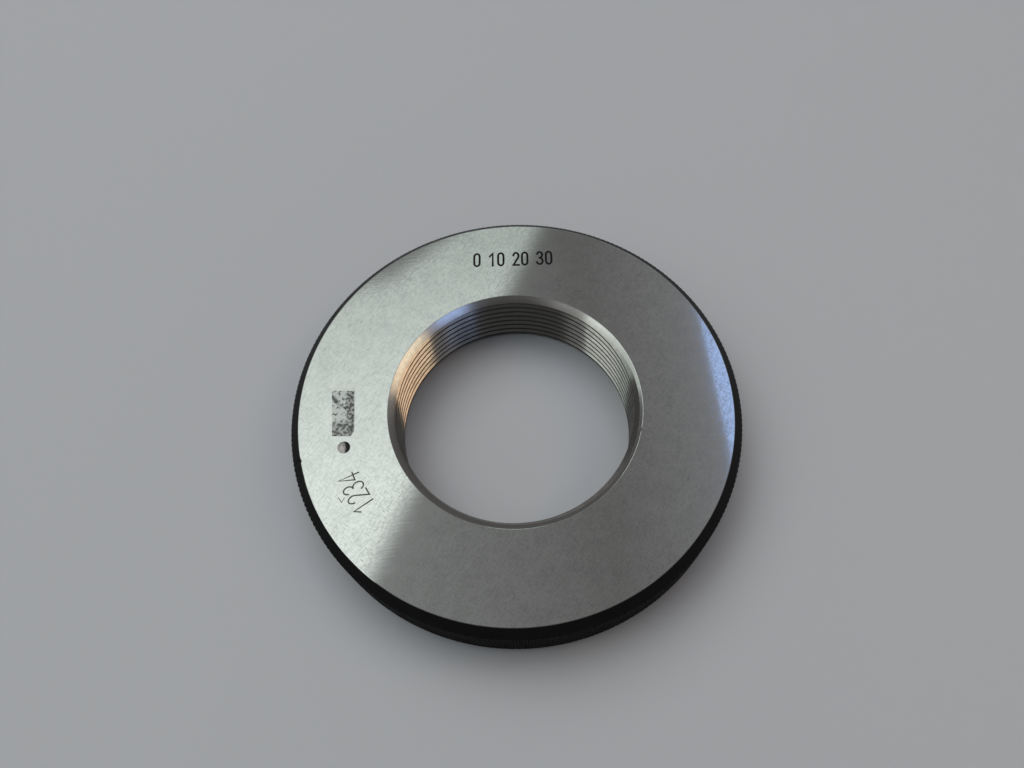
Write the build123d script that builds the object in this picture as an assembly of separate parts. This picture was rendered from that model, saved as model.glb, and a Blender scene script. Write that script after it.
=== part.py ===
"""A GO thread ring gauge for the metric fine thread M55 x 2: one turned, hardened and ground steel ring.

The frame is the ring's own: +Z is its axis, and the origin is the middle of the face that it rests on.
Lengths are in millimetres and angles in degrees. The one sub-part goes to parts/gauge_ring.step.
"""

from build123d import *
import math
import os

# Blank: a plain cylinder whose rim is chamfered at both faces.
ring_diameter = 100.0
ring_thickness = 16.0
rim_chamfer = 2.1

# Internal thread, right-handed, with the ISO metric basic profile.
thread_nominal_diameter = 55.0
thread_pitch = 2.0
flank_angle = 30.0
# Depth of the groove's middle under the top face, at bearing zero.
first_groove_depth = 0.2

# Flat entry chamfer at each end of the thread, a little wider than the thread's major diameter.
entry_clearance = 0.65
entry_depth = 0.7

# Round dimple in the top face, beside the thread.
dimple_diameter = 2.8
dimple_depth = 0.7
dimple_centre_radius = 38.3
dimple_bearing = 190.5

ring_radius = ring_diameter / 2
major_radius = thread_nominal_diameter / 2
# Height of the sharp V that the flanks would make, of which the thread is five eighths deep.
sharp_height = thread_pitch / (2 * math.tan(math.radians(flank_angle)))
minor_radius = major_radius - 5 / 8 * sharp_height
entry_radius = major_radius + entry_clearance


def blank():
    """The ring before it is threaded: half of its section, turned about the axis."""
    section = Polyline(
        (minor_radius, entry_depth),
        (entry_radius, 0),
        (ring_radius - rim_chamfer, 0),
        (ring_radius, rim_chamfer),
        (ring_radius, ring_thickness - rim_chamfer),
        (ring_radius - rim_chamfer, ring_thickness),
        (entry_radius, ring_thickness),
        (minor_radius, ring_thickness - entry_depth),
        close=True,
    )
    return revolve(Plane.XZ * make_face(section), Axis.Z)


def groove_turn(middle):
    """One full turn of the groove between two crests, whose section at bearing zero is at height middle.

    The section lies in a plane through the axis. It reaches a little inside the minor radius, so that
    what the groove leaves of the bore is the crest: a strip of the minor cylinder, a quarter pitch wide.
    """
    inner_radius = minor_radius - thread_pitch / 8
    root_half = thread_pitch / 16
    mouth_half = root_half + (major_radius - inner_radius) * math.tan(math.radians(flank_angle))
    section = Polyline(
        (inner_radius, middle - mouth_half),
        (major_radius, middle - root_half),
        (major_radius, middle + root_half),
        (inner_radius, middle + mouth_half),
        close=True,
    )
    path = Helix(thread_pitch, thread_pitch, major_radius, center=(0, 0, middle))
    return sweep(Plane.XZ * make_face(section), path=path, is_frenet=True)


def thread():
    """Every turn of the groove that reaches into the ring. The thread runs out at both faces."""
    first_middle = ring_thickness - first_groove_depth
    turns_above = math.ceil(first_groove_depth / thread_pitch)
    turns_below = math.ceil(first_middle / thread_pitch) + 1
    first_turn = groove_turn(first_middle)
    return [Pos(0, 0, turn * thread_pitch) * first_turn for turn in range(-turns_below, turns_above + 1)]


def dimple():
    """A ball whose cap, dimple_depth deep, is dimple_diameter wide in the top face."""
    cap_radius = dimple_diameter / 2
    ball_radius = (cap_radius**2 + dimple_depth**2) / (2 * dimple_depth)
    bearing = math.radians(dimple_bearing)
    centre = Pos(
        dimple_centre_radius * math.cos(bearing),
        dimple_centre_radius * math.sin(bearing),
        ring_thickness - dimple_depth + ball_radius,
    )
    return centre * Sphere(ball_radius)


gauge_ring = blank() - thread() - dimple()

os.makedirs("parts", exist_ok=True)
export_step(gauge_ring, "parts/gauge_ring.step")
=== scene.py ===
# %% [markdown]
# # A thread ring gauge
#
# A thread ring gauge checks screws: a screw of the right size turns into it by hand. This one is a single
# steel ring, turned, hardened and ground, with an internal thread of 55 mm and a pitch of 2 mm. Its two
# faces are ground bright, and its rim is knurled and blackened so that fingers can hold it.
#
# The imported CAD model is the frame. It has the outside sizes and the true thread, but a smooth rim and no
# marks. The visual piece made here is one closed mesh that takes its place: it stays inside the same box
# and adds the knurl, the broken edges, the marks and the finishes.

# %% Load the frame
import math

import bmesh
import bpy
from mathutils import Euler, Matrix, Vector, geometry


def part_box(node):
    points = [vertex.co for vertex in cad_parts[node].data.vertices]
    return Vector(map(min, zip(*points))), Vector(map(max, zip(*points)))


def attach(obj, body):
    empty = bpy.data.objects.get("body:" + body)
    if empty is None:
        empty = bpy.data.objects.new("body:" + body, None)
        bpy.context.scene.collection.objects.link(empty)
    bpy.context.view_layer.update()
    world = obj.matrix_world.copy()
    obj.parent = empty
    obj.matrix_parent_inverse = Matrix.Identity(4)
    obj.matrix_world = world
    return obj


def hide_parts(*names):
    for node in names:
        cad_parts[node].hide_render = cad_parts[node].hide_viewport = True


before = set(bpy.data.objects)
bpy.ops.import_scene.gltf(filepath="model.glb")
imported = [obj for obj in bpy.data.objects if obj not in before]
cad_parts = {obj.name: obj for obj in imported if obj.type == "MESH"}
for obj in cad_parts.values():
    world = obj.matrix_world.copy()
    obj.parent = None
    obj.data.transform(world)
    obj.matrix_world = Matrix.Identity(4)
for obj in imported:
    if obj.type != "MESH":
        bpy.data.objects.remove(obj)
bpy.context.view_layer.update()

# %% [markdown]
# ## Camera
#
# The camera stands in front of the ring and well above it. Three turns give its attitude, each with a plain
# meaning: how far it looks down, how much it is rolled about its own axis, and a very small turn to the
# side. Setting these is easier to follow than a matrix of nine numbers.

# %% Camera
look_down = 64.28
roll = -4.587
side_turn = 0.078
camera_place = (0, -0.0749, 0.18173)
focal_length = 28.99
sensor_width = 36
picture_width = 1024
# The ring stands half a pixel right of and below where the lens points.
pixels_right, pixels_down = 0.5, 0.4

camera_data = bpy.data.cameras.new("camera")
camera_data.lens = focal_length
camera_data.sensor_width = sensor_width
camera_data.shift_x = -pixels_right / picture_width
camera_data.shift_y = pixels_down / picture_width
camera_data.clip_start = 0.01
camera_data.clip_end = 100
camera = bpy.data.objects.new("camera", camera_data)
tilt = Euler((math.radians(90 - look_down), 0, math.radians(side_turn)), "XYZ").to_matrix()
camera.matrix_world = (tilt @ Euler((0, 0, math.radians(roll))).to_matrix()).to_4x4()
camera.location = camera_place
bpy.context.scene.collection.objects.link(camera)
bpy.context.scene.camera = camera
print("camera stands", round(1000 * Vector(camera_place).length), "mm from the origin")

# %% [markdown]
# ## Shared helpers for materials
#
# Every finish here is procedural. A few small helpers keep node trees readable: each places a node, sets its
# plain values and links its inputs in one call.

# %% Node helpers
def wire(value, socket):
    """Feeds a socket from another node's output, or sets it to a plain value."""
    if isinstance(value, bpy.types.NodeSocket):
        socket.id_data.links.new(value, socket)
    else:
        socket.default_value = value


def place(tree, kind, inputs=None, **settings):
    """Adds a node. settings are its own properties, and inputs maps socket names or numbers to values."""
    node = tree.nodes.new(kind)
    for name, value in settings.items():
        setattr(node, name, value)
    for name, value in (inputs or {}).items():
        wire(value, node.inputs[name])
    return node


def noise(tree, position, scale, detail):
    """A Noise Texture's value."""
    inputs = {"Vector": position, "Scale": scale, "Detail": detail}
    return place(tree, "ShaderNodeTexNoise", inputs).outputs["Fac"]


def new_material(name):
    """The tree of a new material, and its Principled shader."""
    material = bpy.data.materials.new(name)
    material.use_nodes = True
    print("material", name)
    return material.node_tree, material.node_tree.nodes["Principled BSDF"]


def dress(shader, **inputs):
    """Gives the shader plain values, or links what varies over the surface."""
    for name, value in inputs.items():
        wire(value, shader.inputs[name.replace("_", " ")])


def emboss(shader, height, metres, strength=1.0):
    """Bumps a surface: a height of 1 stands this many metres proud of a height of 0."""
    inputs = {"Strength": strength, "Distance": metres, "Height": height}
    wire(place(shader.id_data, "ShaderNodeBump", inputs).outputs["Normal"], shader.inputs["Normal"])


print("node helpers ready")

# %% [markdown]
# ## Table top
#
# The ring lies on a plain pale table top. Its faint orange-peel surface is only a bump, because it is not
# part of the object and nobody measures it. The plane is wide enough to run out of the picture everywhere.

# %% Table top
floor_half_width = 3.0
floor_colour = (0.44, 0.455, 0.475, 1)
floor_roughness = 0.55
peel_scale, peel_strength, peel_depth = 700.0, 0.25, 1.0e-4

floor_mesh = bpy.data.meshes.new("table_top")
square = ((-1, -1), (1, -1), (1, 1), (-1, 1))
floor_corners = [(x * floor_half_width, y * floor_half_width, 0) for x, y in square]
floor_mesh.from_pydata(floor_corners, [], [(0, 1, 2, 3)])
floor = bpy.data.objects.new("table_top", floor_mesh)
bpy.context.scene.collection.objects.link(floor)

tree, shader = new_material("table_top")
position = place(tree, "ShaderNodeTexCoord").outputs["Object"]
emboss(shader, noise(tree, position, peel_scale, 1.0), peel_depth, peel_strength)
dress(shader, Base_Color=floor_colour, Roughness=floor_roughness)
floor_mesh.materials.append(bpy.data.materials["table_top"])
print("table top is", 2 * floor_half_width, "m square")

# %% [markdown]
# ## Light
#
# Bright steel has almost no colour of its own. What it shows is the room, so its look is made by what is
# overhead and where. The room here is a world shader: every direction is carried up to a ceiling one metre
# above the ring, and straight-edged areas of light are drawn on that ceiling. A large pale window makes the
# light half of the face, and its straight edge is the line where the face turns dark. A cool panel makes
# the blue strip at the right edge, and a warm one the golden part of the thread. The rest is a dim grey,
# which gets paler low on the walls. Only the ring and the table see this room: where the camera looks past
# the table top, it sees a plain pale backdrop.
#
# One soft lamp only fills: it lights matt surfaces and is switched off in reflections, so that the table
# renders about as pale as its colour is written while the steel keeps its contrast.

# %% Arithmetic with nodes
def calculate(tree, operation, *values):
    """A Math node: the operation on one, two or three values."""
    return place(tree, "ShaderNodeMath", dict(enumerate(values)), operation=operation).outputs[0]


def largest(tree, first, *others):
    """The largest of several values."""
    for other in others:
        first = calculate(tree, "MAXIMUM", first, other)
    return first


def vector_math(tree, operation, *vectors):
    """The outputs of a Vector Math node: a vector and a value."""
    return place(tree, "ShaderNodeVectorMath", dict(enumerate(vectors)), operation=operation).outputs


def blend_values(tree, share, first, second, kind="FLOAT"):
    """The first value where share is 0, and the second where it is 1."""
    inputs = {"Factor": share, "A": first, "B": second}
    return place(tree, "ShaderNodeMix", inputs, data_type=kind).outputs["Result"]


def blend_colours(tree, share, first, second):
    """The first colour where share is 0, and the second where it is 1."""
    return blend_values(tree, share, first, second, "RGBA")


def rescale(tree, value, low, high, low_out=0.0, high_out=1.0, curve="LINEAR"):
    """Maps low..high to low_out..high_out and clamps outside it."""
    sockets = {"Value": value, "From Min": low, "From Max": high, "To Min": low_out, "To Max": high_out}
    return place(tree, "ShaderNodeMapRange", sockets, interpolation_type=curve).outputs[0]


print("arithmetic helpers ready")

# %% Areas of light on the ceiling
world = bpy.data.worlds.new("room")
bpy.context.scene.world = world
world.use_nodes = True
tree = world.node_tree
direction = place(tree, "ShaderNodeTexCoord").outputs["Generated"]
across, along, upward = place(tree, "ShaderNodeSeparateXYZ", {0: direction}).outputs
# Where the direction meets the ceiling, in metres. A level one never would, so all rise at least this much.
least_rise = 0.02
above_horizon = calculate(tree, "MAXIMUM", upward, least_rise)
ceiling_x = calculate(tree, "DIVIDE", across, above_horizon)
ceiling_y = calculate(tree, "DIVIDE", along, above_horizon)


def light_area(corners, softness):
    """1 inside a convex outline on the ceiling, whose corners run anticlockwise, and 0 outside it."""
    inside = None
    for (x0, y0), (x1, y1) in zip(corners, corners[1:] + corners[:1]):
        run = math.hypot(x1 - x0, y1 - y0)
        rise, advance = (y1 - y0) / run, (x1 - x0) / run
        level = calculate(tree, "MULTIPLY_ADD", ceiling_x, -rise, x0 * rise - y0 * advance)
        distance = calculate(tree, "MULTIPLY_ADD", ceiling_y, advance, level)
        inside = distance if inside is None else calculate(tree, "MINIMUM", inside, distance)
    return rescale(tree, inside, -softness / 2, softness / 2, curve="SMOOTHSTEP")


# How wide the soft edge of each light is, in metres.
window_softness, warm_softness, cool_softness, cool_top_softness = 0.04, 0.03, 0.008, 0.004
window_near_edge = [(-1.7, -0.85), (-0.75, -0.36), (-0.42, -0.055), (-0.25, 0.124)]
window = largest(
    tree,
    light_area([(0.139, 0.908), (-1.7, -0.582)] + window_near_edge, window_softness),
    light_area([(0.048, 0.724), (-1.7, 0.25)] + window_near_edge, window_softness),
)
cool_panel = largest(
    tree,
    light_area([(0.272, 0.34), (0.42, 0.34), (0.42, 0.62), (0.264, 0.62)], cool_top_softness),
    light_area([(0.272, 0.36), (0.203, -0.184), (0.367, -0.085), (0.42, 0.36)], cool_softness),
    light_area(
        [(0.207, -0.155), (0.203, -0.184), (0.306, -0.50), (0.565, -0.37), (0.367, -0.085)], cool_softness
    ),
)
warm_corners = [(0.437, -0.027), (0.8, -0.288), (1.3, 0.25), (1.3, 0.51), (0.656, 0.365)]
warm_panel = light_area(warm_corners, warm_softness)
print("three areas of light on the ceiling")

# %% Colours of the room
ceiling = (0.182, 0.18, 0.179, 1)
ceiling_left = (0.34, 0.345, 0.345, 1)
ceiling_right = (0.285, 0.28, 0.29, 1)
horizon = (0.118, 0.117, 0.115, 1)
low_walls = (0.3, 0.3, 0.3, 1)
camera_side = (0.09, 0.09, 0.088, 1)
camera_direction = Vector((0, -0.6, 0.8)).normalized()
window_near = (1.16, 1.24, 1.19, 1)
window_far = (0.64, 0.71, 0.67, 1)
cool_colour = (0.55, 0.73, 1.2, 1)
warm_near = (1.9, 1.62, 1.15, 1)
warm_far = (2.1, 1.46, 0.96, 1)
backdrop = (0.31, 0.318, 0.33, 1)
# Between which places, across the ceiling or along it, one colour passes into the next.
left_fade, right_fade, warm_fade, window_fade = (-0.3, 0.1), (0.12, 0.28), (0.55, 0.9), (0.35, 0.72)
# A thin curtain hangs before the window's far left part.
curtain_across, curtain_along = (-0.3, -0.5), (-0.05, 0.25)

overhead = blend_colours(tree, rescale(tree, ceiling_x, *left_fade), ceiling_left, ceiling)
overhead = blend_colours(tree, rescale(tree, ceiling_x, *right_fade), overhead, ceiling_right)
towards_camera = vector_math(tree, "DOT_PRODUCT", direction, camera_direction)["Value"]
room = low_walls
# Each step passes to the next colour while a value rises from its start to its end.
for value, start, end, colour in (
    (upward, 0.34, 0.44, horizon),
    (upward, 0.7, 0.84, overhead),
    (towards_camera, 0.84, 0.91, camera_side),
):
    room = blend_colours(tree, rescale(tree, value, start, end, curve="SMOOTHSTEP"), room, colour)
curtain_x, curtain_y = rescale(tree, ceiling_x, *curtain_across), rescale(tree, ceiling_y, *curtain_along)
curtain = calculate(tree, "MULTIPLY", curtain_x, curtain_y)
window_colour = blend_colours(tree, rescale(tree, ceiling_y, *window_fade), window_near, window_far)
window_colour = blend_colours(tree, curtain, window_colour, window_far)
warm_colour = blend_colours(tree, rescale(tree, ceiling_x, *warm_fade), warm_near, warm_far)
for area, colour in ((window, window_colour), (cool_panel, cool_colour), (warm_panel, warm_colour)):
    room = blend_colours(tree, area, room, colour)
seen_by_camera = place(tree, "ShaderNodeLightPath").outputs["Is Camera Ray"]
wire(blend_colours(tree, seen_by_camera, room, backdrop), tree.nodes["Background"].inputs["Color"])
print("window", window_near[:3], "and the dim ceiling", ceiling[:3])

# %% Fill lamp
fill_size = 1.6
fill_radiance = 1.85
fill_place = (-0.35, 0.6, 1.45)
fill_data = bpy.data.lights.new("fill", "AREA")
fill_data.size = fill_size
fill_data.energy = fill_radiance * math.pi * fill_size**2
fill = bpy.data.objects.new("fill", fill_data)
bpy.context.scene.collection.objects.link(fill)
fill.location = fill_place
fill.rotation_euler = fill.location.to_track_quat("Z", "Y").to_euler()
fill.visible_glossy = False
bpy.context.scene.view_settings.view_transform = "Standard"
print("fill lamp", round(fill.location.length, 2), "m away")

# %% [markdown]
# ## Sizes of the ring
#
# All the shape below is worked out in millimetres and turned into metres once, at the end. The outside
# sizes come from the frame's box, and the rest are the values that a drawing of the gauge would give.

# %% Sizes
low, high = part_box("gauge_ring")
ring_radius = 1000 * (high.x - low.x) / 2
ring_thickness = 1000 * (high.z - low.z)
rim_chamfer = 2.1
face_radius = ring_radius - rim_chamfer

thread_nominal_diameter = 55.0
thread_pitch = 2.0
first_groove_depth = 0.2
flank_slope = math.tan(math.radians(30))
major_radius = thread_nominal_diameter / 2
minor_radius = major_radius - 5 / 8 * thread_pitch / (2 * flank_slope)
entry_clearance, entry_depth = 0.65, 0.7
entry_radius = major_radius + entry_clearance
# How far every sharp edge is broken.
edge_break = 0.07
bore_edge_break = 0.045
print("ring", round(2 * ring_radius, 2), "x", round(ring_thickness, 2), "mm")
print("bore", round(2 * minor_radius, 3), "mm at the crests")

# %% [markdown]
# ## Collecting the surface
#
# The ring is one closed skin made from several parts: the bore, two flat faces, a dimple and the rim. Each
# part adds its polygons to one list, with the name of the finish that they have. Parts that meet use the
# same points along their common edge, so that a last merge closes the skin without gaps.

# %% Skin
class Skin:
    """Points in millimetres, and polygons with the name of their finish."""

    def __init__(self):
        self.points = []
        self.polygons = []
        self.finishes = []

    def point(self, x, y, z):
        self.points.append((x, y, z))
        return len(self.points) - 1

    def polar(self, radius, bearing, z):
        return self.point(radius * math.cos(bearing), radius * math.sin(bearing), z)

    def polygon(self, corners, finish):
        distinct = [c for n, c in enumerate(corners) if c != corners[n - 1]]
        if len(distinct) > 2:
            self.polygons.append(distinct)
            self.finishes.append(finish)

    def circle(self, radius, z, count, start=0.0):
        return [self.polar(radius, start + 2 * math.pi * n / count, z) for n in range(count)]

    def strip(self, first, second, finish):
        """Joins two closed rows that have the same number of points."""
        for n in range(len(first)):
            self.polygon([first[n - 1], first[n], second[n], second[n - 1]], finish)


skin = Skin()
print("an empty skin")

# %% [markdown]
# ## Bore
#
# A thread is a helix, and the usual way to model one is a screw modifier on a profile. That leaves ragged
# ends where the thread meets the entry chamfers. Here the wall of the bore is a grid of columns instead.
# Every column holds the same profile, and each next column lifts it a little, one pitch in a full turn.
# Along every column the two points where the profile meets the chamfer cones are worked out exactly, and
# what lies beyond them is dropped, so the thread runs out into the chamfers as a cut one does.

# %% Thread profile
bore_columns = 360
crest_ease = 0.05


def eased(corners, period, ease):
    """A repeating profile of (height, radius) corners, with each corner cut off by two points."""
    rows = []
    for n, (height, radius) in enumerate(corners):
        before = corners[n - 1] if n else (corners[-1][0] - period, corners[-1][1])
        after = corners[n + 1] if n + 1 < len(corners) else (corners[0][0] + period, corners[0][1])
        for other in (before, after):
            run = math.hypot(other[0] - height, other[1] - radius)
            step = ease / run
            rows.append((height + (other[0] - height) * step, radius + (other[1] - radius) * step))
    return rows


root_half = thread_pitch / 16
mouth_half = root_half + (major_radius - minor_radius) * flank_slope
one_pitch = eased(
    [
        (-root_half, major_radius),
        (root_half, major_radius),
        (mouth_half, minor_radius),
        (thread_pitch - mouth_half, minor_radius),
    ],
    thread_pitch,
    crest_ease,
)
turns_down, turns_up = math.ceil(ring_thickness / thread_pitch) + 1, 2
first_middle = ring_thickness - first_groove_depth
wall_rows = [
    (first_middle + turn * thread_pitch + height, radius)
    for turn in range(-turns_down, turns_up + 1)
    for height, radius in one_pitch
]
print(len(one_pitch), "rows to a pitch,", len(wall_rows), "rows in all")

# %% Bore wall and entry chamfers
entry_slope = (entry_radius - minor_radius) / entry_depth


def upper_cone(z):
    """The upper chamfer's radius at height z."""
    return minor_radius + (z - ring_thickness + entry_depth) * entry_slope


def lower_cone(z):
    """The lower chamfer's radius at height z."""
    return minor_radius + (entry_depth - z) * entry_slope


def meeting(rows, cone):
    """Where a column's profile first passes under a cone, and how many rows come before that."""
    gaps = [cone(z) - radius for z, radius in rows]
    n = next(n for n, gap in enumerate(gaps) if gap >= 0)
    share = gaps[n - 1] / (gaps[n - 1] - gaps[n])
    (z0, r0), (z1, r1) = rows[n - 1], rows[n]
    return (z0 + (z1 - z0) * share, r0 + (r1 - r0) * share), n


def bore(skin):
    """The threaded wall and its two entry chamfers."""
    columns, upper_ends, lower_ends = [], [], []
    middle = len(wall_rows) // 2
    for column in range(bore_columns):
        bearing = 2 * math.pi * column / bore_columns
        rows = [(z + thread_pitch * column / bore_columns, radius) for z, radius in wall_rows]
        (top_z, top_radius), above = meeting(rows[middle:], upper_cone)
        (low_z, low_radius), below = meeting(rows[middle::-1], lower_cone)
        top = skin.polar(top_radius, bearing, top_z)
        bottom = skin.polar(low_radius, bearing, low_z)
        ids = [bottom] * len(rows)
        for n in range(middle - below + 1, middle + above):
            ids[n] = skin.polar(rows[n][1], bearing, rows[n][0])
        ids[middle + above:] = [top] * (len(rows) - middle - above)
        columns.append(ids)
        upper_ends.append(top)
        lower_ends.append(bottom)
    # Round the ring once, the rows have risen by one pitch.
    shift = len(one_pitch)
    columns.append(columns[0][shift:] + [upper_ends[0]] * shift)
    for here, there in zip(columns, columns[1:]):
        for n in range(len(wall_rows) - 1):
            skin.polygon([here[n], there[n], there[n + 1], here[n + 1]], "lapped_bore")
    down = bore_edge_break / math.hypot(entry_slope, 1)
    for row, face_z, inward in ((upper_ends, ring_thickness, -1), (lower_ends, 0.0, 1)):
        on_cone = skin.circle(entry_radius - down * entry_slope, face_z + inward * down, bore_columns)
        on_face = skin.circle(entry_radius + bore_edge_break, face_z, bore_columns)
        skin.strip(row, on_cone, "entry_chamfer")
        skin.strip(on_cone, on_face, "ground_face")


bore(skin)
print("bore:", len(skin.polygons), "polygons")

# %% [markdown]
# ## Rim
#
# A diamond knurl is rolled or cut with two families of grooves, leaning left and right by thirty degrees.
# What is left between them are small four-sided pyramids, whose tips are flattened by use. A bump map would
# leave the outline smooth, so the pyramids are real geometry.
#
# One tooth's share of the rim is drawn flat, as if the rim were unrolled: across, up and out. The flat
# drawing is cut by two sloping planes, which become the rim's chamfer cones when it is rolled up again.
# Where a cone cuts through the pyramids, the edge comes out as a fine zigzag, as it does on the real ring.

# %% One tooth, unrolled
knurl_teeth = 258
knurl_depth = 0.3
knurl_lean = 30
tooth_width = 2 * math.pi * ring_radius / knurl_teeth
tooth_height = tooth_width / math.tan(math.radians(knurl_lean))
# Outline, shoulder and tip of a pyramid: its size as a share of the outline, and its height.
pyramid_levels = ((1.0, -knurl_depth), (0.47, -0.02), (0.36, 0.0))


def pyramid(drawing, across, up):
    """One knurl pyramid, with a small flat on its tip."""
    rows = []
    for share, out in pyramid_levels:
        half_width, half_height = share * tooth_width / 2, share * tooth_height / 2
        corners = ((-half_width, 0), (0, -half_height), (half_width, 0), (0, half_height))
        rows.append([drawing.verts.new((across + x, up + z, out)) for x, z in corners])
    for lower, upper in zip(rows, rows[1:]):
        for n in range(4):
            drawing.faces.new((lower[n - 1], lower[n], upper[n], upper[n - 1]))
    drawing.faces.new(rows[-1])


def cut_edge(drawing, up, slope):
    """Cuts the drawing by a chamfer's plane. Returns the points of the cut from left to right."""
    geom = drawing.verts[:] + drawing.edges[:] + drawing.faces[:]
    cut = bmesh.ops.bisect_plane(
        drawing, geom=geom, dist=1e-5, plane_co=(0, up, 0), plane_no=(0, slope, 1), clear_outer=True
    )
    points = [v.co.copy() for v in cut["geom_cut"] if isinstance(v, bmesh.types.BMVert)]
    return sorted(points, key=lambda point: point.x)


def unrolled_tooth():
    """The polygons of one tooth's share of the rim, and its upper and lower cut edges."""
    drawing = bmesh.new()
    middle = ring_thickness / 2
    reach = math.ceil((ring_thickness / 2) / (tooth_height / 2))
    for n in range(-reach, reach + 1):
        pyramid(drawing, tooth_width / 2 * (n % 2), middle + n * tooth_height / 2)
    bmesh.ops.remove_doubles(drawing, verts=drawing.verts[:], dist=1e-4)
    upper = cut_edge(drawing, ring_thickness - rim_chamfer, 1)
    lower = cut_edge(drawing, rim_chamfer, -1)
    polygons = [[vert.co.copy() for vert in face.verts] for face in drawing.faces]
    drawing.free()
    return polygons, upper, lower


tooth, upper_edge, lower_edge = unrolled_tooth()
print("one tooth:", len(tooth), "polygons, edge cut at", len(upper_edge), "points")

# %% Rolled up into the rim
zigzag_clearance = 0.15


def rim(skin):
    """The knurled wall and both chamfers. Returns the bearings at which the two faces' outlines start."""

    def rolled(point, number):
        return skin.polar(ring_radius + point[2], (point[0] + number * tooth_width) / ring_radius, point[1])

    for number in range(knurl_teeth):
        for polygon in tooth:
            skin.polygon([rolled(point, number) for point in polygon], "knurled_rim")
    starts = []
    down = edge_break / math.sqrt(2)
    for edge, face_z, inward in ((upper_edge, ring_thickness, -1), (lower_edge, 0.0, 1)):
        start = edge[0].x / ring_radius
        # How far outside and behind the face's edge the chamfer's first row lies, just clear of the zigzag.
        first_row = rim_chamfer - knurl_depth - zigzag_clearance
        row = skin.circle(face_radius + first_row, face_z + inward * first_row, 2 * knurl_teeth, start)
        for number in range(knurl_teeth):
            zigzag = [rolled(point, number) for point in edge]
            after = row[(2 * number + 2) % len(row)]
            skin.polygon(zigzag + [after, row[2 * number + 1], row[2 * number]], "black_chamfer")
        on_cone = skin.circle(face_radius + down, face_z + inward * down, 2 * knurl_teeth, start)
        on_face = skin.circle(face_radius - edge_break, face_z, 2 * knurl_teeth, start)
        skin.strip(row, on_cone, "black_chamfer")
        skin.strip(on_cone, on_face, "ground_face")
        starts.append(start)
    return starts


upper_start, lower_start = rim(skin)
print("rim:", knurl_teeth, "teeth, now", len(skin.polygons), "polygons")

# %% [markdown]
# ## Marks on the upper face
#
# The size of a gauge is etched on its face in narrow upright figures, and the workshop that owns it often
# scratches a number of its own beside them with an engraving pen. Both are drawn here as plain numbers.
# A text object would work, but its outlines are heavy and look printed. A stroke font does better: each
# figure is a few lines and arcs that a tool of a given width follows, so the two marks can share their
# figures and differ in width, as they do in steel.

# %% Figures as strokes
def arc(middle_x, middle_y, radius_x, radius_y, start, stop, steps=9):
    """Points of an elliptical arc, from one bearing in degrees to another. A figure is 1 wide and 1 high."""
    bearings = [math.radians(start + (stop - start) * n / steps) for n in range(steps + 1)]
    return [(middle_x + radius_x * math.cos(b), middle_y + radius_y * math.sin(b)) for b in bearings]


figures = {
    "0": [
        arc(0.5, 0.76, 0.5, 0.24, 90, 180) + arc(0.5, 0.24, 0.5, 0.24, 180, 270),
        arc(0.5, 0.24, 0.5, 0.24, -90, 0) + arc(0.5, 0.76, 0.5, 0.24, 0, 90),
    ],
    "1": [[(0.08, 0.76), (0.62, 1.0), (0.62, 0.0)]],
    "2": [arc(0.5, 0.74, 0.48, 0.26, 172, -28) + [(0.02, 0.0), (1.0, 0.0)]],
    "3": [arc(0.46, 0.76, 0.48, 0.24, 160, -90), arc(0.46, 0.26, 0.54, 0.26, 90, -160)],
    "4": [[(0.74, 0.0), (0.74, 1.0), (0.0, 0.28), (0.6, 0.28)], [(0.6, 0.28), (1.04, 0.28)]],
}


# Points nearer than this are one point, and at a sharp bend a stroke's corner reaches out no further than
# half its width divided by this limit.
same_point, bend_limit = 1e-4, 0.5


def ribbon(line, width):
    """The outline that a tool of this width leaves along a line of points, with square ends."""
    points = [Vector(point) for point in line]
    points = [p for n, p in enumerate(points) if n == 0 or (p - points[n - 1]).length > same_point]
    runs = [(b - a).normalized() for a, b in zip(points, points[1:])]
    left, right = [], []
    for n, point in enumerate(points):
        before, after = runs[max(n - 1, 0)], runs[min(n, len(runs) - 1)]
        across = Vector((-before.y - after.y, before.x + after.x)).normalized()
        reach = width / 2 / max(bend_limit, across.dot(Vector((-after.y, after.x))))
        along_end = width / 2 * ((n == len(points) - 1) - (n == 0)) * after
        left.append(point + across * reach + along_end)
        right.append(point - across * reach + along_end)
    return left + right[::-1]


print("figures drawn:", " ".join(figures))

# %% Where the figures stand
def figure_outlines(name, foot, rightward, height, width, stroke):
    """Outlines of one figure. foot is its lower left corner, and rightward the way it is read."""
    up = Vector((-rightward.y, rightward.x))
    # The middle of a stroke stays half a stroke inside the figure's box.
    start = foot + (rightward + up) * stroke / 2
    across, up = rightward * (width - stroke), up * (height - stroke)
    return [ribbon([start + across * x + up * y for x, y in line], stroke) for line in figures[name]]


def heading(degrees):
    """The direction of a bearing on the face."""
    return Vector((math.cos(math.radians(degrees)), math.sin(math.radians(degrees))))


# The etched numbers stand on one straight line beyond the bore, and lean with it by three degrees.
size_text = "0 10 20 30"
size_start = Vector((-7.3, 36.86))
size_slope = -3.1
size_height, size_width, size_stroke = 4.0, 1.8, 0.5
size_pitch, size_space = 2.1, 1.55

size_outlines = []
reading = heading(size_slope)
travel = 0.0
for character in size_text:
    if character == " ":
        travel += size_space
        continue
    foot = size_start + reading * travel
    size_outlines += figure_outlines(character, foot, reading, size_height, size_width, size_stroke)
    travel += size_pitch

# The hand-engraved number stands along a circle, with the figures' tops outward.
owner_text = "1234"
owner_radius = 36.6
owner_bearings = (211.8, 208.2, 204.8, 201.3)
owner_height, owner_width, owner_stroke = 4.9, 2.0, 0.32

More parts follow.
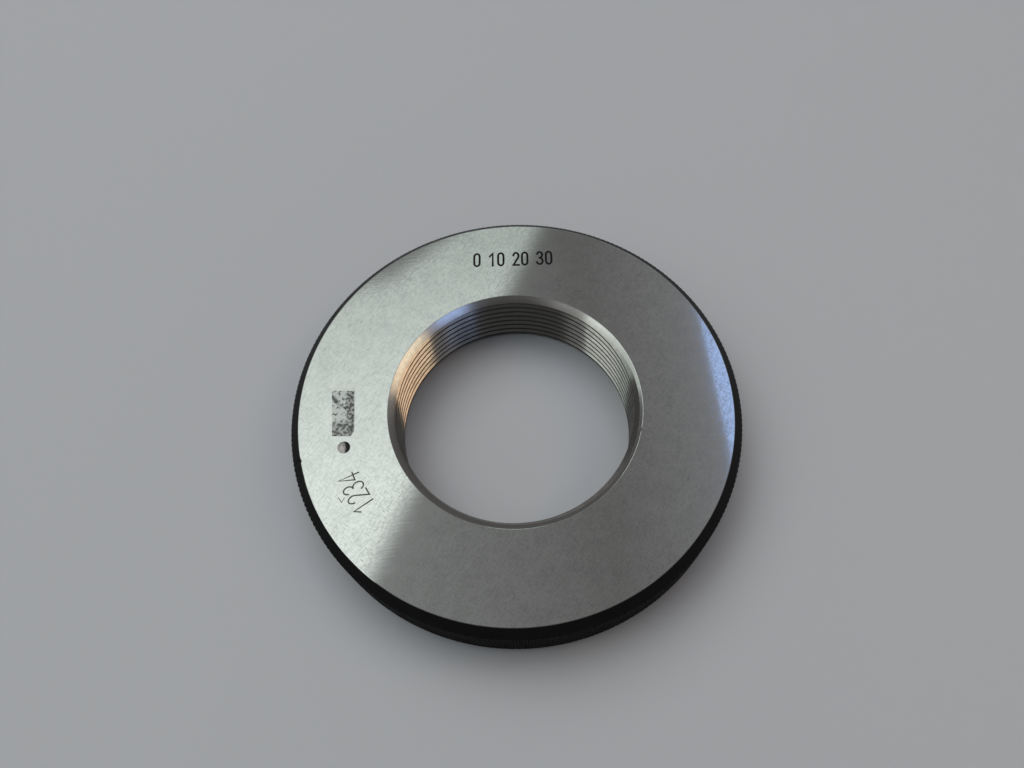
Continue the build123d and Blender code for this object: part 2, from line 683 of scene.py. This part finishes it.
owner_outlines = []
for character, bearing in zip(owner_text, owner_bearings):
    outward = heading(bearing)
    clockwise = Vector((outward.y, -outward.x))
    foot = outward * owner_radius - clockwise * owner_width / 2
    owner_outlines += figure_outlines(character, foot, clockwise, owner_height, owner_width, owner_stroke)
print(len(size_outlines), "etched strokes,", len(owner_outlines), "engraved strokes")

# %% Patch and stray scratches
# A rectangle beside the dimple, etched dark and half rubbed off again.
patch_corners = ((-40.56, 6.87), (-35.50, 6.42), (-35.40, -3.3), (-36.2, -4.5), (-40.30, -4.15))
patch_outline = [Vector(corner) for corner in patch_corners]
# Each stray scratch has two ends and a width.
stray_scratches = (
    ((16.2, 27.9), (17.9, 27.75), 0.14),
    ((15.6, 27.2), (17.3, 27.05), 0.08),
    ((-38.6, -18.3), (-37.9, -19.4), 0.16),
    ((-37.9, -19.4), (-37.3, -18.4), 0.12),
)
scratch_outlines = [ribbon(ends, width) for *ends, width in stray_scratches]
# What stands on the upper face, how deep each mark goes and which finish it has.
marks = [
    (size_outlines, 0.05, "etched_figures"),
    (owner_outlines, 0.06, "engraved_lines"),
    (scratch_outlines, 0.03, "engraved_lines"),
    ([patch_outline], 0.01, "etched_patch"),
]
print("marks on the face:", sum(len(outlines) for outlines, _, _ in marks), "outlines")

# %% [markdown]
# ## Flat faces
#
# A flat face with figures cut into it is a job for a constrained triangulation: it takes outlines that may
# cross each other and fills the plane with triangles that never cross an outline, and tells which outlines
# each triangle lies in. Triangles inside a mark go down by its depth, and a small wall closes each step.
# Two guard circles near the edges keep the long triangles away from the broken edges.

# %% Triangulated face
guard = 0.6


def circle_outline(radius, count, start=0.0, middle=(0.0, 0.0)):
    """Points round a circle on the face, the first at the bearing start."""
    bearings = [start + 2 * math.pi * n / count for n in range(count)]
    return [Vector((middle[0] + radius * math.cos(b), middle[1] + radius * math.sin(b))) for b in bearings]


def leftward_round(outline):
    """The same outline, but always run through with its inside on the left, as the triangulation needs."""
    doubled_area = sum(outline[n - 1].cross(outline[n]) for n in range(len(outline)))
    return outline if doubled_area > 0 else outline[::-1]


def flat_face(skin, z, start, marks=(), hollow=None):
    """A ring-shaped face at height z, with marks cut into it and the round outline hollow left open."""
    outlines = [
        circle_outline(face_radius - edge_break, 2 * knurl_teeth, start),
        circle_outline(entry_radius + bore_edge_break, bore_columns),
        circle_outline(face_radius - guard, 2 * knurl_teeth, start),
        circle_outline(entry_radius + guard, bore_columns),
    ]
    opened = {1}
    if hollow:
        opened.add(len(outlines))
        outlines.append(hollow)
    depth_of, finish_of = {}, {}
    for mark_outlines, depth, finish in marks:
        for outline in mark_outlines:
            depth_of[len(outlines)], finish_of[len(outlines)] = depth, finish
            outlines.append(outline)
    corners, loops = [], []
    for outline in outlines:
        loops.append(list(range(len(corners), len(corners) + len(outline))))
        corners += leftward_round(outline)
    points, _, triangles, _, _, owners = geometry.delaunay_2d_cdt(corners, [], loops, 0, 1e-5)
    levels, edges = {}, {}

    def at(corner, depth):
        if (corner, depth) not in levels:
            levels[corner, depth] = skin.point(*points[corner], z - depth)
        return levels[corner, depth]

    for triangle, owner in zip(triangles, owners):
        if 0 not in owner or opened & set(owner):
            continue
        marked = [outline for outline in owner if outline in depth_of]
        depth = depth_of[marked[0]] if marked else 0.0
        finish = finish_of[marked[0]] if marked else "ground_face"
        skin.polygon([at(corner, depth) for corner in triangle], finish)
        for n in range(3):
            edges.setdefault(frozenset((triangle[n - 1], triangle[n])), []).append((depth, finish))
    for edge, sides in edges.items():
        if len(sides) == 2 and sides[0][0] != sides[1][0]:
            (upper, _), (lower, finish) = sorted(sides)
            first, second = edge
            skin.polygon([at(first, upper), at(second, upper), at(second, lower), at(first, lower)], finish)


print("guard circles", guard, "mm from the edges")

# %% [markdown]
# ## Dimple
#
# The dimple is the mark of a ball: a shallow round cap. Its first ring is the round outline left open in
# the face, and each deeper ring follows the ball's curve to a single point at the bottom.

# %% Dimple
dimple_diameter = 2.8
dimple_depth = 0.7
dimple_middle = Vector((-37.65, -7.0))
dimple_columns = 40
dimple_rings = 8
dimple_outline = circle_outline(dimple_diameter / 2, dimple_columns, 0.0, dimple_middle)


def dimple(skin):
    """Rings of the round cap, from the face down to its lowest point."""
    rim_radius = dimple_diameter / 2
    ball_radius = (rim_radius**2 + dimple_depth**2) / (2 * dimple_depth)
    opening = math.asin(rim_radius / ball_radius)
    rows = []
    for ring in range(dimple_rings):
        slope = opening * (1 - ring / dimple_rings)
        z = ring_thickness - dimple_depth + ball_radius * (1 - math.cos(slope))
        outline = circle_outline(ball_radius * math.sin(slope), dimple_columns, 0.0, dimple_middle)
        rows.append([skin.point(point.x, point.y, z) for point in outline])
    for upper, lower in zip(rows, rows[1:]):
        skin.strip(upper, lower, "dimple")
    bottom = skin.point(*dimple_middle, ring_thickness - dimple_depth)
    for n in range(dimple_columns):
        skin.polygon([rows[-1][n - 1], rows[-1][n], bottom], "dimple")


flat_face(skin, ring_thickness, upper_start, marks, dimple_outline)
flat_face(skin, 0.0, lower_start)
dimple(skin)
print("whole skin:", len(skin.polygons), "polygons")

# %% [markdown]
# ## Knocks
#
# A gauge that has been used has a few small knocks on its edges. Each one here pushes the points near it
# aside by a fraction of a millimetre, most at its middle. Points on the face itself stay in its plane: even
# a hair's tilt of the large triangles beside a knock would show as a streak across its reflections.

# %% Knocks
# Each knock has its place, how far it reaches, and how far it pushes towards the axis and down. A knock on
# the bore's edge pushes away from the axis.
knocks = (
    ((-46.97, -9.30, 16.0), 0.75, 0.25, 0.1),
    ((1.9, 28.2, 16.0), 0.24, -0.05, 0.05),
    ((26.9, -8.3, 16.0), 0.24, -0.05, 0.05),
)
face_height = ring_thickness - 0.001
for place_of_knock, reach, push, push_down in knocks:
    middle = Vector(place_of_knock)
    for n, point in enumerate(skin.points):
        away = (Vector(point) - middle).length
        if away < reach:
            share = (1 - (away / reach) ** 2) ** 2
            shift = -push * Vector((middle.x, middle.y, 0)).normalized()
            if point[2] < face_height:
                shift.z = -push_down
            skin.points[n] = tuple(Vector(point) + share * shift)
print(len(knocks), "knocks made")

# %% [markdown]
# ## One closed mesh
#
# The polygons become a mesh, and points that lie on each other are merged. Edges that turn by more than a
# few degrees stay sharp, so that the flat faces reflect like flat faces, while the columns of the bore and
# of the rim shade as one smooth curve.

# %% Build the ring
sharp_angle = math.radians(8)
merge_distance = 2e-4
flat_facing = 0.9999
finish_names = (
    "ground_face", "black_chamfer", "knurled_rim", "entry_chamfer", "lapped_bore",
    "etched_figures", "engraved_lines", "etched_patch", "dimple",
)

ring_mesh = bpy.data.meshes.new("ring_gauge")
ring_mesh.from_pydata(skin.points, [], skin.polygons)
for name, polygon in zip(skin.finishes, ring_mesh.polygons):
    polygon.material_index = finish_names.index(name)
shape = bmesh.new()
shape.from_mesh(ring_mesh)
bmesh.ops.remove_doubles(shape, verts=shape.verts[:], dist=merge_distance)
bmesh.ops.dissolve_degenerate(shape, edges=shape.edges[:], dist=merge_distance / 4)
bmesh.ops.recalc_face_normals(shape, faces=shape.faces[:])
open_edges = sum(1 for edge in shape.edges if not edge.is_manifold)
for edge in shape.edges:
    edge.smooth = edge.calc_face_angle(0) < sharp_angle
# Polygons that lie flat keep their own normal, so that nothing round them bends their reflections.
for face in shape.faces:
    face.smooth = abs(face.normal.z) < flat_facing
bmesh.ops.scale(shape, verts=shape.verts[:], vec=(0.001, 0.001, 0.001))
shape.to_mesh(ring_mesh)
triangle_count = sum(len(face.verts) - 2 for face in shape.faces)
volume = 1e9 * shape.calc_volume()
shape.free()
ring = bpy.data.objects.new("ring_gauge", ring_mesh)
bpy.context.scene.collection.objects.link(ring)
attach(ring, "root")
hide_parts("gauge_ring")
print("ring mesh:", triangle_count, "triangles,", open_edges, "open edges,", round(volume), "cubic mm")

# %% [markdown]
# ## Finishes: shared effects
#
# The ring is one kind of steel in several states: ground, turned, lapped, blackened and etched. They share
# a few effects, and each effect is a node group with named inputs, placed in every finish with its own
# values. All of them start from the same coordinates: the point in millimetres, its distance from the axis
# and its height, which is how a turned part is described in a workshop.

# %% Group helpers
def new_group(name, inputs, outputs):
    """An empty node group and what it is given. A number makes a value socket, and None a vector socket."""
    tree = bpy.data.node_groups.new(name, "ShaderNodeTree")
    for way, sockets in (("INPUT", inputs), ("OUTPUT", outputs)):
        for label, default in sockets.items():
            kind = "NodeSocketVector" if default is None else "NodeSocketFloat"
            socket = tree.interface.new_socket(label, in_out=way, socket_type=kind)
            if default is not None:
                socket.default_value = default
    return tree, tree.nodes.new("NodeGroupInput").outputs


def group_result(tree, **results):
    """Sends a group's results to its output node."""
    place(tree, "NodeGroupOutput", results)
    print("group", tree.name)


def use_group(tree, group, **inputs):
    """Places a group in a material with its own values."""
    return place(tree, "ShaderNodeGroup", inputs, node_tree=group)


print("group helpers ready")

# %% Group: place on the ring
ring_coordinates, _ = new_group(
    "ring_coordinates", {}, {"Position": None, "Outward": None, "Radius": 0.0, "Height": 0.0}
)
tree = ring_coordinates
metres = place(tree, "ShaderNodeTexCoord").outputs["Object"]
position = vector_math(tree, "MULTIPLY", metres, (1000, 1000, 1000))["Vector"]
flattened = vector_math(tree, "MULTIPLY", position, (1, 1, 0))["Vector"]
group_result(
    tree,
    Position=position,
    Outward=vector_math(tree, "NORMALIZE", flattened)["Vector"],
    Radius=vector_math(tree, "LENGTH", flattened)["Value"],
    Height=place(tree, "ShaderNodeSeparateXYZ", {0: position}).outputs["Z"],
)

# %% Group: short straight scratches that all run one way
# Noise is squeezed into streaks, and the mask keeps only what rises over the threshold.
scratch_softness = 0.14

scratch_grain, given = new_group(
    "scratch_grain",
    {"Position": None, "Bearing": 0.0, "Length": 1.0, "Width": 0.2, "Threshold": 0.5},
    {"Mask": 0.0},
)
tree = scratch_grain
angle = calculate(tree, "RADIANS", calculate(tree, "MULTIPLY", given["Bearing"], -1.0))
turned = place(
    tree, "ShaderNodeVectorRotate", {"Vector": given["Position"], "Angle": angle}, rotation_type="Z_AXIS"
).outputs["Vector"]
per_length = calculate(tree, "DIVIDE", 1.0, given["Length"])
per_width = calculate(tree, "DIVIDE", 1.0, given["Width"])
squeeze = place(tree, "ShaderNodeCombineXYZ", {0: per_length, 1: per_width, 2: per_width}).outputs[0]
streaks = noise(tree, vector_math(tree, "MULTIPLY", turned, squeeze)["Vector"], 1.0, 1.0)
full_scratch = calculate(tree, "ADD", given["Threshold"], scratch_softness)
group_result(tree, Mask=rescale(tree, streaks, given["Threshold"], full_scratch))

# %% Group: cloudy unevenness
# Noise seldom leaves the middle of its range, so that part is stretched to the whole.
noise_low, noise_high = 0.3, 0.7

mottle, given = new_group("mottle", {"Position": None, "Size": 1.0, "Low": 0.0, "High": 1.0}, {"Value": 0.0})
tree = mottle
clouds = noise(tree, given["Position"], calculate(tree, "DIVIDE", 1.0, given["Size"]), 3.0)
group_result(tree, Value=rescale(tree, clouds, noise_low, noise_high, given["Low"], given["High"]))

# %% Group: lines left by a turning tool
# Each line runs round the axis and changes only slowly on its way round.
turned_lines, given = new_group(
    "turned_lines", {"Outward": None, "Radius": 0.0, "Height": 0.0, "Spacing": 0.2}, {"Value": 0.0}
)
tree = turned_lines
along_section = calculate(tree, "ADD", given["Radius"], given["Height"])
lines_passed = calculate(tree, "DIVIDE", along_section, given["Spacing"])
rings = place(
    tree,
    "ShaderNodeTexNoise",
    {"Vector": given["Outward"], "W": lines_passed, "Scale": 1.0, "Detail": 2.0},
    noise_dimensions="4D",
).outputs["Fac"]
group_result(tree, Value=rescale(tree, rings, noise_low, noise_high))

# %% Group: wear along an edge that runs round the ring
# The edge is given by its radius and height. Its mirror image in the lower half of the ring wears too.
# Along the edge the wear reaches a tenth of its width in some places, and 1.6 times its width in others.
rag_scale, rag_noise, rag_reach = 1.3, (0.35, 0.65), (0.1, 1.6)

worn_edge, given = new_group(
    "worn_edge",
    {"Position": None, "Radius": 0.0, "Height": 0.0, "Edge Radius": 0.0, "Edge Height": 0.0, "Width": 0.2},
    {"Mask": 0.0},
)
tree = worn_edge
half_thickness = ring_thickness / 2
from_middle = calculate(tree, "ABSOLUTE", calculate(tree, "SUBTRACT", given["Height"], half_thickness))
edge_from_middle = calculate(tree, "SUBTRACT", given["Edge Height"], half_thickness)
off_radius = calculate(tree, "SUBTRACT", given["Radius"], given["Edge Radius"])
off_height = calculate(tree, "SUBTRACT", from_middle, edge_from_middle)
squared_height = calculate(tree, "MULTIPLY", off_height, off_height)
squares = calculate(tree, "MULTIPLY_ADD", off_radius, off_radius, squared_height)
distance = calculate(tree, "SQRT", squares)
raggedness = rescale(tree, noise(tree, given["Position"], rag_scale, 3.0), *rag_noise, *rag_reach)
reach = calculate(tree, "MULTIPLY", given["Width"], raggedness)
group_result(tree, Mask=rescale(tree, distance, reach, 0.0, curve="SMOOTHSTEP"))

# %% [markdown]
# ## Ground faces
#
# The faces were ground flat and then lapped. Up close the steel is covered with very short scratches that
# cross each other at about a right angle. They show as a fine grain where the window is reflected, and
# hardly show in the dark half. Long, very shallow lines from the grinding wheel lie under them: they are far
# too shallow to see, but they bend reflections, so the edges of reflected lights come out finely toothed.

# %% Ground face
def scratched(tree, position, bearing, length, width, threshold):
    """The mask of one layer of scratches. A higher threshold leaves fewer of them."""
    inputs = {"Bearing": bearing, "Length": length, "Width": width, "Threshold": threshold}
    return use_group(tree, scratch_grain, Position=position, **inputs).outputs["Mask"]


def clouded(tree, position, size, low=0.0, high=1.0):
    """Clouds of about this size in millimetres, with values from low to high."""
    return use_group(tree, mottle, Position=position, Size=size, Low=low, High=high).outputs["Value"]


def placed_on_ring(tree):
    """Position, outward direction, radius and height of a point on the ring."""
    return use_group(tree, ring_coordinates).outputs.values()


steel_bright = (0.63, 0.645, 0.63, 1)
steel_dull = (0.40, 0.41, 0.40, 1)
face_roughness = (0.03, 0.1)
# Each layer of scratches has a bearing, a length, a width and a threshold.
short_scratches = ((52.0, 1.3, 0.15, 0.52), (-40.0, 1.1, 0.15, 0.54))
wheel_scratches = (2.0, 7.0, 0.45, 0.43)
grain_share, wheel_depth = 0.15, 0.5e-6
# How much the grain dulls the steel, and the size and range of the clouds that do the same.
grain_dulling, face_clouds = 0.55, (4.0, 0.0, 0.22)

tree, shader = new_material("ground_face")
position = placed_on_ring(tree)[0]
grain = largest(tree, *(scratched(tree, position, *layer) for layer in short_scratches))
dullness = calculate(tree, "MULTIPLY_ADD", grain, grain_dulling, clouded(tree, position, *face_clouds))
dress(
    shader,
    Base_Color=blend_colours(tree, dullness, steel_bright, steel_dull),
    Roughness=blend_values(tree, grain, *face_roughness),
    Metallic=1.0,
)
wheel_lines = scratched(tree, position, *wheel_scratches)
emboss(shader, calculate(tree, "MULTIPLY_ADD", grain, -grain_share, wheel_lines), wheel_depth)

# %% [markdown]
# ## Entry chamfers and thread
#
# The entry chamfers were turned and the thread was ground and then lapped with a screw-shaped lap. Both
# leave lines that run round the bore. The thread is a little darker and duller, partly for old oil in it
# and partly as painted shade in its grooves. Its crests are painted almost black, as painted shade.

# %% Entry chamfer and bore
turned_roughness = (0.09, 0.18)
turned_depth = 1.0e-6
line_dulling, turned_clouds = 0.5, (1.2, 0.0, 0.5)


def lined(tree, outward, radius, height, spacing):
    """The value of the lines that a turning tool leaves, this many millimetres apart."""
    inputs = {"Outward": outward, "Radius": radius, "Height": height, "Spacing": spacing}
    return use_group(tree, turned_lines, **inputs).outputs["Value"]


def turned_steel(name, bright, dull, darkest_colour, darkening_start, darkening_end, darkening_most, spacing):
    """Bare steel with the lines of a turning tool. It turns darker from one radius to the other."""
    tree, shader = new_material(name)
    position, outward, radius, height = placed_on_ring(tree)
    lines = lined(tree, outward, radius, height, spacing)
    dullness = calculate(tree, "MULTIPLY_ADD", lines, line_dulling, clouded(tree, position, *turned_clouds))
    # Towards one radius the steel turns darker: on the thread's crests this is painted shade.
    darkening = rescale(tree, radius, minor_radius + darkening_start, minor_radius + darkening_end, 0.0, darkening_most)
    steel = blend_colours(tree, dullness, bright, dull)
    dress(
        shader,
        Base_Color=blend_colours(tree, darkening, steel, darkest_colour),
        Roughness=blend_values(tree, dullness, *turned_roughness),
        Metallic=1.0,
    )
    emboss(shader, lines, turned_depth)


# The chamfer turns darker towards the bore's edge.
turned_steel(
    "entry_chamfer",
    bright=(0.62, 0.61, 0.60, 1),
    dull=(0.50, 0.49, 0.48, 1),
    darkest_colour=(0.25, 0.22, 0.18, 1),
    darkening_start=1.2,
    darkening_end=0.1,
    darkening_most=0.45,
    spacing=0.12,
)
# Painted shade: the thread is darker than the chamfer partly as shade in its grooves, and its crests are
# painted almost black.
turned_steel(
    "lapped_bore",
    bright=(0.40, 0.39, 0.375, 1),
    dull=(0.26, 0.255, 0.24, 1),
    darkest_colour=(0.03, 0.028, 0.025, 1),
    darkening_start=0.07,
    darkening_end=0.02,
    darkening_most=0.95,
    spacing=0.16,
)

# %% [markdown]
# ## Blackened rim
#
# The rim was blackened in hot salts before the faces were ground, so the black ends sharply at the faces.
# The film is thin: it keeps the turned lines of the chamfer, and it is rubbed through in spots along the
# edges and on the tips of the knurl, where fingers and benches touch it.

# %% Black chamfer and knurl
black_deep = (0.0012, 0.0012, 0.0014, 1)
black_thin = (0.0035, 0.0033, 0.0031, 1)
rubbed_steel = (0.30, 0.29, 0.28, 1)
rubbed_roughness = 0.3
rim_line_spacing, rim_line_depth = 0.15, 3.0e-6
# How much the turned lines and the clouds each add to the roughness.
line_roughening, cloud_roughening, film_cloud_size = 0.4, 0.6, 2.5


def blackened(name, wear_of, roughness, specular):
    """Black oxide over steel. wear_of returns the mask of what is rubbed bare."""
    tree, shader = new_material(name)
    position, outward, radius, height = placed_on_ring(tree)
    lines = lined(tree, outward, radius, height, rim_line_spacing)
    clouds = clouded(tree, position, film_cloud_size)
    film = blend_colours(tree, clouds, black_deep, black_thin)
    cloudy = calculate(tree, "MULTIPLY", clouds, cloud_roughening)
    uneven = calculate(tree, "MULTIPLY_ADD", lines, line_roughening, cloudy)
    film_roughness = blend_values(tree, uneven, *roughness)
    bare = wear_of(tree, position, radius, height)
    dress(
        shader,
        Base_Color=blend_colours(tree, bare, film, rubbed_steel),
        Roughness=blend_values(tree, bare, film_roughness, rubbed_roughness),
        Metallic=bare,
        Specular_IOR_Level=specular,
    )
    emboss(shader, lines, rim_line_depth)


# The chamfer's inner and outer edge: radius, height and how far the wear reaches.
worn_edges = ((face_radius, ring_thickness, 0.10), (ring_radius, ring_thickness - rim_chamfer, 0.16))
most_rubbed_edge, most_rubbed_tip = 0.12, 0.08
# The tips wear from this far below their own radius to this far below it.
tip_wear_start, tip_wear_end, tip_wear_size = 0.05, 0.01, 3.0


def chamfer_wear(tree, position, radius, height):
    """Rubbed spots along the chamfer's inner and outer edge."""
    masks = []
    for edge_radius, edge_height, width in worn_edges:
        inputs = {"Position": position, "Radius": radius, "Height": height}
        edge = {"Edge Radius": edge_radius, "Edge Height": edge_height, "Width": width}
        masks.append(use_group(tree, worn_edge, **inputs, **edge).outputs["Mask"])
    return calculate(tree, "MULTIPLY", largest(tree, *masks), most_rubbed_edge)


def knurl_wear(tree, position, radius, height):
    """Rubbed tips of the pyramids, more on some than on others."""
    tips = rescale(tree, radius, ring_radius - tip_wear_start, ring_radius - tip_wear_end)
    return calculate(tree, "MULTIPLY", tips, clouded(tree, position, tip_wear_size, 0.0, most_rubbed_tip))


blackened("black_chamfer", chamfer_wear, roughness=(0.36, 0.5), specular=0.13)
blackened("knurled_rim", knurl_wear, roughness=(0.6, 0.75), specular=0.1)

# %% [markdown]
# ## Marks
#
# Etching leaves a matt black bottom, and the engraving pen a grey groove with a rough bottom. The patch was
# etched only lightly and then rubbed, so its dark film is left in crumbs: dense along the lower third and
# the right side, thin elsewhere. The dimple was pressed, so it keeps the crushed grain of the surface, and
# its right half is painted black as shade.

# %% Etched and engraved marks
mark_darkest, mark_cloud_size = 0.5, 0.5


def matt_mark(name, colour, **values):
    """A small dark mark whose depth of colour varies a little along it."""
    tree, shader = new_material(name)
    darker = tuple(mark_darkest * channel for channel in colour[:3]) + (1,)
    clouds = clouded(tree, placed_on_ring(tree)[0], mark_cloud_size)
    dress(shader, Base_Color=blend_colours(tree, clouds, darker, colour), **values)


matt_mark("etched_figures", (0.009, 0.009, 0.0095, 1), Roughness=0.6, Metallic=0.0, Specular_IOR_Level=0.2)
matt_mark("engraved_lines", (0.22, 0.22, 0.215, 1), Roughness=0.42, Metallic=1.0)

# %% Etched patch
patch_left, patch_right, patch_bottom, patch_top = -40.5, -35.4, -4.5, 6.9
film_thin, film_dense = (0.47, 0.48, 0.47, 1), (0.32, 0.32, 0.315, 1)
crumb_colour = (0.2, 0.2, 0.2, 1)
patch_roughness = (0.16, 0.5)
# Where the film gets dense, as shares of the patch's width or height.
lower_edge, right_edge, left_edge = (0.36, 0.28), (0.58, 0.70), (0.42, 0.32)
# The blot at the upper left follows a line that falls to the right.
blot_height, blot_fall, blot_half_width = 0.86, 0.5, (0.09, 0.05)
crumb_size, crowding, crumb_edge = 0.7, 0.24, (0.62, 0.98)

tree, shader = new_material("etched_patch")
position = placed_on_ring(tree)[0]
x, y, _ = place(tree, "ShaderNodeSeparateXYZ", {0: position}).outputs
rightward = rescale(tree, x, patch_left, patch_right)
upward_share = rescale(tree, y, patch_bottom, patch_top)
lower_third = rescale(tree, upward_share, *lower_edge)
right_side = rescale(tree, rightward, *right_edge)
fallen = calculate(tree, "MULTIPLY_ADD", rightward, blot_fall, -blot_height)
off_line = calculate(tree, "ABSOLUTE", calculate(tree, "ADD", fallen, upward_share))
near_line = rescale(tree, off_line, *blot_half_width)
left_blot = calculate(tree, "MULTIPLY", near_line, rescale(tree, rightward, *left_edge))
dense = largest(tree, lower_third, right_side, left_blot)
crumbs = clouded(tree, position, crumb_size)
dark = rescale(tree, calculate(tree, "MULTIPLY_ADD", dense, crowding, crumbs), *crumb_edge)
film = blend_colours(tree, dense, film_thin, film_dense)
dress(
    shader,
    Base_Color=blend_colours(tree, dark, film, crumb_colour),
    Roughness=blend_values(tree, dark, *patch_roughness),
    Metallic=1.0,
)

# %% Dimple
pressed_dark, pressed_bright = (0.35, 0.35, 0.35, 1), (0.78, 0.79, 0.78, 1)
# The right half of the dimple is painted near-black as shade.
dimple_painted_shade = (0.012, 0.012, 0.012, 1)
dimple_roughness, dimple_metallic = (0.45, 0.6), 0.3
crushed_size, crushed_depth = 0.3, 2.0e-5
# Where the painted shade begins, in millimetres right of the middle, and how far the grain moves that edge.
painted_shade_edge, painted_shade_raggedness = (-0.45, 0.0), 0.6

tree, shader = new_material("dimple")
position = placed_on_ring(tree)[0]
crushed = clouded(tree, position, crushed_size)
x = place(tree, "ShaderNodeSeparateXYZ", {0: position}).outputs["X"]
right_of_middle = calculate(tree, "SUBTRACT", x, dimple_middle.x)
shifted = calculate(tree, "MULTIPLY_ADD", crushed, -painted_shade_raggedness, right_of_middle)
# Painted shade over the dimple's right half.
painted_shade_side = rescale(tree, shifted, *painted_shade_edge)
pressed = blend_colours(tree, crushed, pressed_dark, pressed_bright)
dress(
    shader,
    Base_Color=blend_colours(tree, painted_shade_side, pressed, dimple_painted_shade),
    Roughness=blend_values(tree, painted_shade_side, *dimple_roughness),
    Metallic=dimple_metallic,
)
emboss(shader, crushed, crushed_depth)

# %% Finishes on the mesh
for name in finish_names:
    ring_mesh.materials.append(bpy.data.materials[name])
print(len(finish_names), "finishes on the ring")
